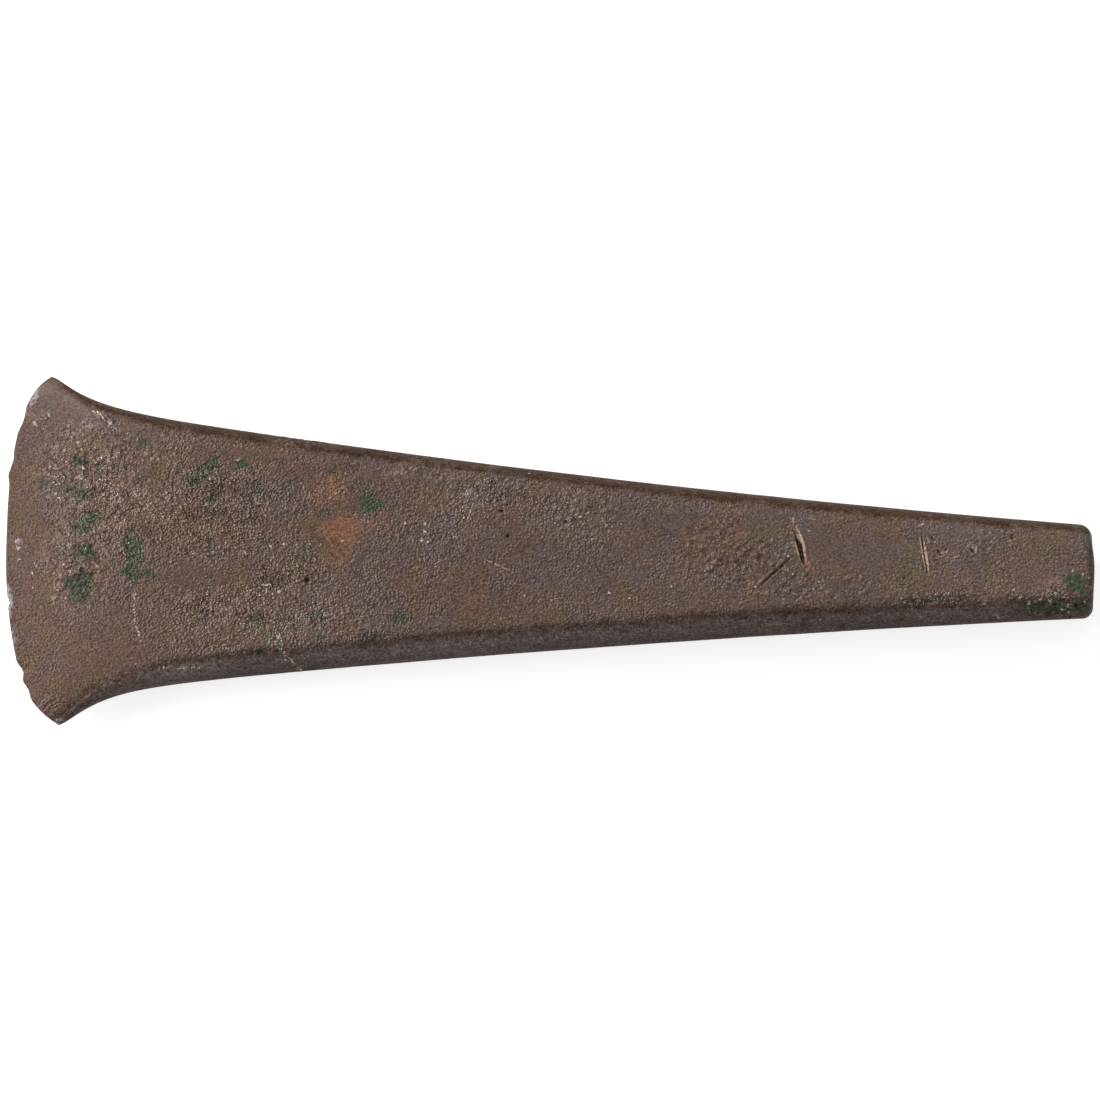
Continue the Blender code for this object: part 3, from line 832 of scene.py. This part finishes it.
def finish_masks(mesh):
    """Where each finish, painted light and painted shade lies, by name."""
    points = read_rows(mesh.vertices, "co", np.float32, 3).astype(float)
    place = photo_place(points)
    ragged = ragged_place(points, place)
    near = points[:, 1] < 0
    upper = ramp(points[:, 2], 0.48 * THICKNESS, 0.52 * THICKNESS)
    shown = ramp(points[:, 2], 0.15 * THICKNESS, 0.25 * THICKNESS)
    shown = shown * np.where(points[:, 1] > 0, upper, 1)
    inside = inside_crease(points) / MM
    off_blade = ramp(setback_of(points) / MM, 4, 12)

    jag = noise_layers(points, ((0.4, 2.5, 67), (0.35, 1, 68)))
    jagged = inside + jag
    crease_width = np.where(jagged > 0.05, np.interp(place[0], (600, 850), (1.05, 1.55)), 0.6)
    broken = np.clip(0.8 + 0.5 * smooth_noise(points, 6, 69), 0, 1)
    # Near-black spots, and painted shade in the deeper pits
    dark = np.maximum(spot_mask(ragged, DARK_SPOTS, 0.6), ramp(pit_relief(place), -0.14, -0.22))
    pale_lines = strongest(line_mask(place, *line) for line in PALE_LINES)
    return {
        "green": shown * spot_mask(ragged, GREEN_SPOTS, 0.5),
        "orange": shown * spot_mask(ragged, ORANGE_SPOTS, 0.6),
        "lilac": shown * spot_mask(ragged, LILAC_SPOTS, 0.8),
        "dark": shown * dark,
        # Painted highlight on the rim of the cutting edge, with rubbed bare metal
        "glint": shown * spot_mask(place, GLINT_SPOTS, 0.6),
        "pale": shown * np.maximum(pale_grain_mask(place), pale_lines),
        "narrow": ramp(inside, 0.9, -0.5) * off_blade,
        # Purple-grey of the near side: its own patina, with a painted sheen
        "near_side": np.where(near, ramp(jagged, 1.8, -1), 0) * off_blade,
        "far_side": np.where(near, 0, ramp(inside + 1.8 * jag, 1, -1.1)) * off_blade,
        # A dark band along the near crease: painted shade where the face turns away, with dirt
        "crease": np.where(near, bell(jagged, 0.05, crease_width), 0) * broken * off_blade,
        # Painted shade: the face greyer and darker towards the near crease
        "near_crease_shade": np.where(near, ramp(jagged, 3, 0.2), 0) * off_blade,
        "painted_shading": shading_factors(points, place, inside, off_blade),
        "crust": upper * spot_mask(ragged, CRUST_SPOTS, 0.8),
        "lumps": upper * spot_mask(ragged, LUMP_SPOTS, 0.7),
        "deep": shown * spot_mask(ragged, DEEP_SPOTS, 0.6),
        "smooth": upper * spot_mask(place, SMOOTH_SPOTS, 0.9),
        "rough": coarseness(points),
        "hollow": hollowness(mesh, points),
    }


def add_masks(mesh):
    """Store where each finish lies, for the material to read."""
    for name, values in finish_masks(mesh).items():
        attribute = mesh.attributes.new(name, "FLOAT", "POINT")
        attribute.data.foreach_set("value", np.ascontiguousarray(values, dtype=np.float32))


# Materials

class Nodes:
    """Short calls that add and join the nodes of one material. Grains are in millimetres."""

    def __init__(self, material):
        material.use_nodes = True
        self.tree = material.node_tree
        self.shader = self.tree.nodes["Principled BSDF"]
        self.place = self.node("TexCoord", "Object", {})

    def feed(self, socket, value):
        if isinstance(value, bpy.types.NodeSocket):
            self.tree.links.new(value, socket)
        else:
            socket.default_value = value

    def node(self, kind, output, inputs, **settings):
        """Add a node, feed its inputs, and give one of its outputs."""
        node = self.tree.nodes.new("ShaderNode" + kind)
        for name, value in settings.items():
            setattr(node, name, value)
        for name, value in inputs.items():
            self.feed(node.inputs[name], value)
        return node.outputs[output]

    def mask(self, name):
        return self.node("Attribute", "Fac", {}, attribute_name=name, attribute_type="GEOMETRY")

    def noise(self, grain, detail=3, roughness=0.55, distortion=0):
        """Noise from 0 to 1 with lumps about one grain across."""
        inputs = {"Vector": self.place, "Scale": 1 / (grain * MM), "Detail": detail,
                  "Roughness": roughness, "Distortion": distortion}
        return self.node("TexNoise", "Fac", inputs)

    def cells(self, grain):
        """Distance from the middles of cells about one grain across."""
        inputs = {"Vector": self.place, "Scale": 1 / (grain * MM)}
        return self.node("TexVoronoi", "Distance", inputs, feature="F1")

    def math(self, operation, *values):
        return self.node("Math", "Value", dict(enumerate(values)), operation=operation)

    def times(self, *values):
        return functools.reduce(functools.partial(self.math, "MULTIPLY"), values)

    def plus(self, *values):
        return functools.reduce(functools.partial(self.math, "ADD"), values)

    def veins(self, noise):
        """Low along winding lines through the noise."""
        return self.math("ABSOLUTE", self.plus(noise, -0.5))

    def span(self, value, low, high, start=0, end=1, **settings):
        """Straight map of start..end onto low..high."""
        inputs = {"Value": value, "From Min": start, "From Max": end, "To Min": low, "To Max": high}
        return self.node("MapRange", "Result", inputs, **settings)

    def step(self, value, start, end):
        """Smooth step from 0 at start to 1 at end."""
        return self.span(value, 0, 1, start, end, interpolation_type="SMOOTHSTEP")

    def vectors(self, operation, output, first, second):
        return self.node("VectorMath", output, {0: first, 1: second}, operation=operation)

    def strokes(self, marks):
        """1 in each of the thin marks on the upper face, 0 elsewhere."""
        total = 0
        for start, end, half_pixels in marks:
            first = spot_seen(start)
            way = (spot_seen(end) - first) * Vector((1, 1, 0))
            offset = self.vectors("SUBTRACT", "Vector", self.place, first)
            along = self.vectors("DOT_PRODUCT", "Value", offset, way / way.length_squared)
            aside = self.vectors("DOT_PRODUCT", "Value", offset, Vector((way.y, -way.x, 0)) / way.length)
            from_middle = self.plus(along, -0.5)
            half = half_pixels * PHOTO_SCALE
            reach = self.math("MULTIPLY_ADD", self.times(from_middle, from_middle), -4 * half, half)
            past = self.math("SUBTRACT", self.math("ABSOLUTE", aside), reach)
            total = self.math("MAXIMUM", total, self.step(past, STROKE_BLUR, -STROKE_BLUR))
        level = self.node("SeparateXYZ", "Z", {"Vector": self.place})
        return self.times(total, self.step(level, 0.5 * THICKNESS, 0.6 * THICKNESS))

    def mix(self, share, first, second, blend="MIX"):
        inputs = {"Factor": share, 6: first, 7: second}
        return self.node("Mix", 2, inputs, data_type="RGBA", blend_type=blend)

    def stained(self, colour, stain, share, strength):
        return self.mix(self.times(share, strength), colour, stain)

    def tinted(self, colour, tint):
        return self.mix(1, colour, tint, "MULTIPLY")


def rgb(red, green, blue):
    return (red, green, blue, 1)


BROWN = rgb(0.124, 0.079, 0.058)
WARM_BROWN = rgb(0.142, 0.080, 0.057)
GREY_BROWN = rgb(0.112, 0.078, 0.070)
RED_BROWN = rgb(0.150, 0.074, 0.058)
OLIVE_BROWN = rgb(0.112, 0.085, 0.048)
CREST_WEAR_AND_HIGHLIGHT = rgb(0.260, 0.195, 0.150)
LILAC_GREY = rgb(0.112, 0.082, 0.086)
SIDE_PATINA_AND_SHEEN = rgb(0.082, 0.060, 0.057)
RUST_BROWN = rgb(0.088, 0.048, 0.034)
FAR_BROWN = rgb(0.054, 0.025, 0.011)
CREASE_DIRT_AND_SHADE = rgb(0.040, 0.016, 0.007)
NEAR_BLACK = rgb(0.012, 0.010, 0.008)
CUT_SHADE_AND_DIRT = rgb(0.022, 0.013, 0.008)
ORANGE_BROWN = rgb(0.250, 0.120, 0.066)
GREEN_CRUST = rgb(0.047, 0.060, 0.036)
PALE_CRUST = rgb(0.400, 0.350, 0.285)
BARE_GLINT = rgb(0.215, 0.180, 0.195)
FRESH_COPPER = rgb(0.430, 0.300, 0.225)
RED_COPPER = rgb(0.245, 0.098, 0.074)
WARM_TINT = rgb(1.07, 0.98, 0.95)
COOL_TINT = rgb(0.99, 1.045, 1.06)
GLOSS_TINT = rgb(1, 0.88, 0.78)
FLOOR_GREY = rgb(0.50, 0.50, 0.50)
WHITE = rgb(1, 1, 1)

# Broad patches in the brown: colour, grain, detail, roughness and distortion of their noise, the noise
# where they start and are full, strength
BROWN_PATCHES = (
    (WARM_BROWN, 8, 3, 0.55, 0, 0.38, 0.62, 1),
    (BROWN, 3, 3, 0.6, 0.4, 0.42, 0.68, 0.7),
    (OLIVE_BROWN, 8, 2, 0.55, 0, 0.50, 0.66, 0.6),
    (RED_BROWN, 3.4, 2, 0.55, 0, 0.54, 0.68, 0.35),
)
# Finishes laid on by mask: mask, colour, the mask with noise where they start and are full, strength
FINISHES = (
    ("lilac", LILAC_GREY, 0, 0.9, 0.85),
    ("orange", ORANGE_BROWN, 0.1, 1.1, 0.85),
    # Painted shade on the face towards the near crease
    ("near_crease_shade", GREY_BROWN, 0, 1, 0.6),
    # Near side purple-grey: own patina with a painted sheen
    ("near_side", SIDE_PATINA_AND_SHEEN, 0.1, 0.9, 1),
    ("far_side", FAR_BROWN, 0, 1, 1),
    # Dark band along the near crease: painted shade with dirt
    ("crease", CREASE_DIRT_AND_SHADE, 0.05, 1.15, 0.82),
    ("green", GREEN_CRUST, 0.25, 0.75, 1),
    # Near-black spots, and painted shade in the deeper pits
    ("dark", NEAR_BLACK, 0.4, 1.2, 0.8),
)
STROKE_BLUR = 0.4 * PHOTO_SCALE


def fine_grain(n):
    """Height of the grain, coarse on rough ground and faint on smooth ground."""
    fine = n.noise(0.40, 0)
    knobs = n.noise(0.58, 0, distortion=0.5)
    clumps = n.step(n.noise(0.85, 0, distortion=0.7), 0.52, 0.63)
    hollows = n.step(n.noise(0.75, 0, distortion=0.5), 0.44, 0.34)
    patches = n.span(n.noise(2.4, 2), 0.35, 1.5, 0.32, 0.68)
    lively = n.span(n.noise(5, 1), 0.45, 1.45, 0.38, 0.62)
    swell = n.plus(n.span(fine, -0.15, 0.15), n.span(knobs, -0.12, 0.12))
    grain = n.plus(swell, n.times(clumps, 0.11), n.times(hollows, -0.13))
    calm = n.plus(n.span(fine, -0.066, 0.066), n.span(knobs, -0.036, 0.036))
    both = n.plus(n.times(grain, patches, n.mask("rough")), n.times(calm, lively))
    return n.times(both, n.span(n.mask("smooth"), 1, 0.05))


def fine_forms(n):
    """Height of the grain, crust, lumps and thin marks, and the forms that colour and gloss follow."""
    winding = n.veins(n.noise(1.05, 0, distortion=0.8))
    broken = n.step(n.noise(1.7, 0), 0.44, 0.54)
    worms = n.times(n.step(winding, 0.12, 0.02), broken)
    ditches = n.times(n.step(winding, 0.24, 0.14), broken)
    chains = n.step(n.veins(n.noise(3.2, 1)), 0.11, 0.05)
    crumbs = n.times(n.step(n.cells(1.10), 0.48, 0.12), chains)
    islands = n.step(n.noise(1.5, 0, distortion=0.6), 0.47, 0.60)
    holes = n.step(n.cells(0.85), 0.25, 0.60)
    raised = n.times(n.math("MAXIMUM", worms, crumbs), n.span(n.mask("green"), 1, 0, 0.1, 0.5))

    height = n.times(fine_grain(n), n.span(n.mask("crust"), 1, 0.55))
    for form, mask, most in (
        (worms, "crust", 0.14),
        (crumbs, "crust", 0.24),
        (islands, "crust", 0.18),
        (holes, "deep", -0.22),
    ):
        height = n.plus(height, n.times(form, n.span(n.mask(mask), 0, most)))

    cell = n.cells(1.35)
    lumpy = n.times(n.step(n.noise(1.6, 0), 0.40, 0.50), n.mask("lumps"))
    lumps = n.times(n.step(cell, 0.44, 0.14), lumpy)
    moats = n.times(n.step(cell, 0.38, 0.50), lumpy)
    height = n.plus(height, n.times(lumps, 0.40))

    cuts = n.strokes(DARK_STROKES)
    ridges = n.strokes(RIDGE_STROKES)
    height = n.plus(height, n.times(ridges, 0.12), n.times(cuts, -0.12))
    raised = n.math("MAXIMUM", raised, ridges)
    return SimpleNamespace(height=height, raised=raised, lumps=lumps, moats=moats,
                           ditches=ditches, ridges=ridges, cuts=cuts)


def patina_colour(n, forms):
    """The brown, what is laid over it by mask, painted shade and highlight by height, and the thin marks.
    """
    speckle = n.noise(0.55, 1)
    ragged = n.span(speckle, -0.5, 0.5, 0.2, 0.8)
    colour = GREY_BROWN
    for tint, grain, detail, roughness, distortion, start, end, strength in BROWN_PATCHES:
        share = n.step(n.noise(grain, detail, roughness, distortion), start, end)
        colour = n.stained(colour, tint, share, strength)
    for name, tint, start, end, most in FINISHES:
        share = n.step(n.plus(n.mask(name), ragged), start, end)
        share = n.times(share, n.span(n.mask(name), 0, most, 0, 0.25))
        colour = n.mix(share, colour, tint)

    # Painted light and shade: the brown warmer where the factor is low, cooler where it is high, then
    # multiplied by it.
    painted_shading = n.mask("painted_shading")
    colour = n.mix(n.span(painted_shading, 1, 0, 0.55, 0.85), colour, n.tinted(colour, WARM_TINT))
    colour = n.mix(n.span(painted_shading, 0, 1, 0.90, 1), colour, n.tinted(colour, COOL_TINT))
    colour = n.tinted(colour, painted_shading)
    narrow = n.mask("narrow")
    stains = n.times(n.step(n.noise(2.2), 0.5, 0.68), narrow)
    colour = n.stained(colour, RUST_BROWN, stains, 0.5)
    mottle = n.span(n.noise(0.8, 2), 0.55, 1.45, 0.25, 0.75)
    colour = n.mix(narrow, colour, n.tinted(colour, mottle))

    # Painted shade in low places and painted highlight on high ones, following the bump's height
    colour = n.tinted(colour, n.span(forms.height, 0.62, 1.16, -0.10, 0.08))
    colour = n.tinted(colour, n.span(speckle, 0.86, 1.14, 0.3, 0.7))
    specks = n.span(n.noise(0.34, 0), -0.5, 0.5)
    contrast = n.span(n.mask("rough"), 1.6, 1, 0.15, 0.40)
    colour = n.tinted(colour, n.plus(n.times(specks, contrast), 1))

    crust = n.mask("crust")
    hollow = n.mask("hollow")
    pale = n.mask("pale")
    glint = n.mask("glint")
    crumbly = n.span(n.noise(0.30, 0), -0.6, 0.6, 0.25, 0.75)
    # Near-black in ditches, moats round lumps and mesh hollows is painted shade, with some dirt
    # The light brown on raised crust, lumps, ridges and mesh crests is painted highlight, with some wear
    for tint, share, strength in (
        (NEAR_BLACK, forms.ditches, n.span(crust, 0, 0.40)),
        (CREST_WEAR_AND_HIGHLIGHT, forms.raised, n.span(crust, 0, 0.32)),
        (NEAR_BLACK, forms.moats, 0.32),
        (CREST_WEAR_AND_HIGHLIGHT, forms.lumps, 0.16),
        (NEAR_BLACK, n.step(hollow, 0.01, 0.09), 0.8),
        (CREST_WEAR_AND_HIGHLIGHT, n.step(hollow, -0.02, -0.09), 0.15),
        (PALE_CRUST, n.step(n.plus(pale, crumbly), 0.40, 0.90), n.step(pale, 0, 0.3)),
        # Painted highlight on the rubbed rim of the cutting edge, with bare metal
        (BARE_GLINT, n.step(n.plus(glint, ragged), 0.55, 1.15), n.step(glint, 0, 0.3)),
        (CREST_WEAR_AND_HIGHLIGHT, forms.ridges, n.step(speckle, 0.22, 0.52)),
        (RED_COPPER, n.strokes(RED_STROKES), n.step(speckle, 0.30, 0.50)),
        # Painted shade, with dirt, in the gash's core, the scratches and small pits
        (CUT_SHADE_AND_DIRT, forms.cuts, 0.85),
        (FRESH_COPPER, n.strokes(COPPER_STROKES), n.step(speckle, 0.30, 0.46)),
    ):
        colour = n.stained(colour, tint, share, strength)
    return colour


def patina():
    """Corroded copper: satin on the faces, duller on the narrow sides and on smooth or dark ground."""
    material = bpy.data.materials.new("brown_patina")
    n = Nodes(material)
    forms = fine_forms(n)
    bump = n.node("Bump", "Normal", {"Strength": 1, "Distance": MM, "Height": forms.height})
    narrow = n.mask("narrow")
    rough = n.mask("rough")
    crust = n.mask("crust")

    gloss = n.span(n.noise(2, 2), 0.36, 0.50, 0.3, 0.7)
    shiny = n.times(forms.raised, n.span(crust, 0, -0.14))
    roughness = n.plus(gloss, n.times(narrow, 0.22), n.times(rough, -0.15), shiny)
    shine = n.times(
        n.span(narrow, 1, 0.40),
        n.span(n.mask("painted_shading"), 0.24, 0.42, 0.5, 0.85),
        n.span(rough, 0.65, 1.45, 0.25, 1),
    )
    shine = n.plus(shine, n.times(forms.raised, n.span(crust, 0, 0.8)))

    inputs = n.shader.inputs
    inputs["Specular IOR Level"].default_value = 0.35
    inputs["Specular Tint"].default_value = GLOSS_TINT
    n.feed(inputs["Base Color"], patina_colour(n, forms))
    n.feed(inputs["Roughness"], roughness)
    n.feed(inputs["Specular IOR Level"], shine)
    n.feed(inputs["Normal"], bump)
    return material


def floor_finish():
    """Matt and pale, with a glow of its own that keeps it white."""
    material = bpy.data.materials.new("pale_floor")
    material.use_nodes = True
    inputs = material.node_tree.nodes["Principled BSDF"].inputs
    inputs["Base Color"].default_value = FLOOR_GREY
    inputs["Roughness"].default_value = 0.9
    inputs["Specular IOR Level"].default_value = 0.1
    inputs["Emission Color"].default_value = WHITE
    inputs["Emission Strength"].default_value = FLOOR_GLOW
    return material


# The axe head

def axe_surface():
    """The worn surface, in place of the solid."""
    rings = fine_rings()
    rings = rings + ring_normals(rings) * surface_relief(rings)[..., None]
    rings[..., 2] = np.maximum(rings[..., 2], 0)
    piece = put("axe_surface", ring_mesh(rings))
    thinned(piece)
    add_masks(piece.data)
    piece.data.materials.append(patina())
    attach(piece, "root")
    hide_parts("axe_head")


# Floor, light and camera

def floor():
    """A plain square just below what lies on it."""
    mesh = bpy.data.meshes.new("floor")
    corners = [(x * FLOOR_HALF_WIDTH, y * FLOOR_HALF_WIDTH, FLOOR_LEVEL)
               for x, y in ((-1, -1), (1, -1), (1, 1), (-1, 1))]
    mesh.from_pydata(corners, [], [(0, 1, 2, 3)])
    mesh.materials.append(floor_finish())
    thing = put("floor", mesh)


def light_from(lamp, direction):
    """Turn a lamp so that its light comes from a direction."""
    lamp.rotation_mode = "QUATERNION"
    lamp.rotation_quaternion = direction.to_track_quat("Z", "Y")


def lights():
    """A white sky, a soft light from behind, and a small one low beyond the blade."""
    world = bpy.data.worlds.new("studio")
    world.use_nodes = True
    background = world.node_tree.nodes["Background"]
    background.inputs["Color"].default_value = WHITE
    background.inputs["Strength"].default_value = SKY_STRENGTH
    bpy.context.scene.world = world

    sun = bpy.data.lights.new("back_light", "SUN")
    sun.energy = BACK_LIGHT_POWER
    sun.angle = BACK_LIGHT_SPREAD
    light_from(put("back_light", sun), BACK_LIGHT_FROM)

    panel = bpy.data.lights.new("blade_light", "AREA")
    panel.shape = "DISK"
    panel.size = BLADE_LIGHT_SIZE
    panel.energy = BLADE_LIGHT_POWER
    blade_light = put("blade_light", panel)
    blade_light.location = BLADE_LIGHT_PLACE
    blade_light.visible_camera = False
    light_from(blade_light, BLADE_LIGHT_PLACE - BLADE_LIGHT_TARGET)


def camera():
    """A long lens at the photograph's angle, aimed at the middle of its frame."""
    turn = Matrix.Rotation(CAMERA_TILT, 4, "X") @ Matrix.Rotation(CAMERA_ROLL, 4, "Z")
    target = spot_seen((PHOTO_SIZE / 2, PHOTO_SIZE / 2), THICKNESS / 2)
    distance = PHOTO_SIZE * PHOTO_SCALE * CAMERA_LENS / CAMERA_SENSOR

    lens = bpy.data.cameras.new("camera")
    lens.lens = CAMERA_LENS
    lens.sensor_width = CAMERA_SENSOR
    lens.clip_start, lens.clip_end = CAMERA_CLIP
    thing = put("camera", lens)
    thing.matrix_world = Matrix.Translation(target) @ turn @ Matrix.Translation((0, 0, distance))
    bpy.context.scene.camera = thing
    bpy.context.scene.view_settings.view_transform = "Standard"


camera()
floor()
lights()
axe_surface()
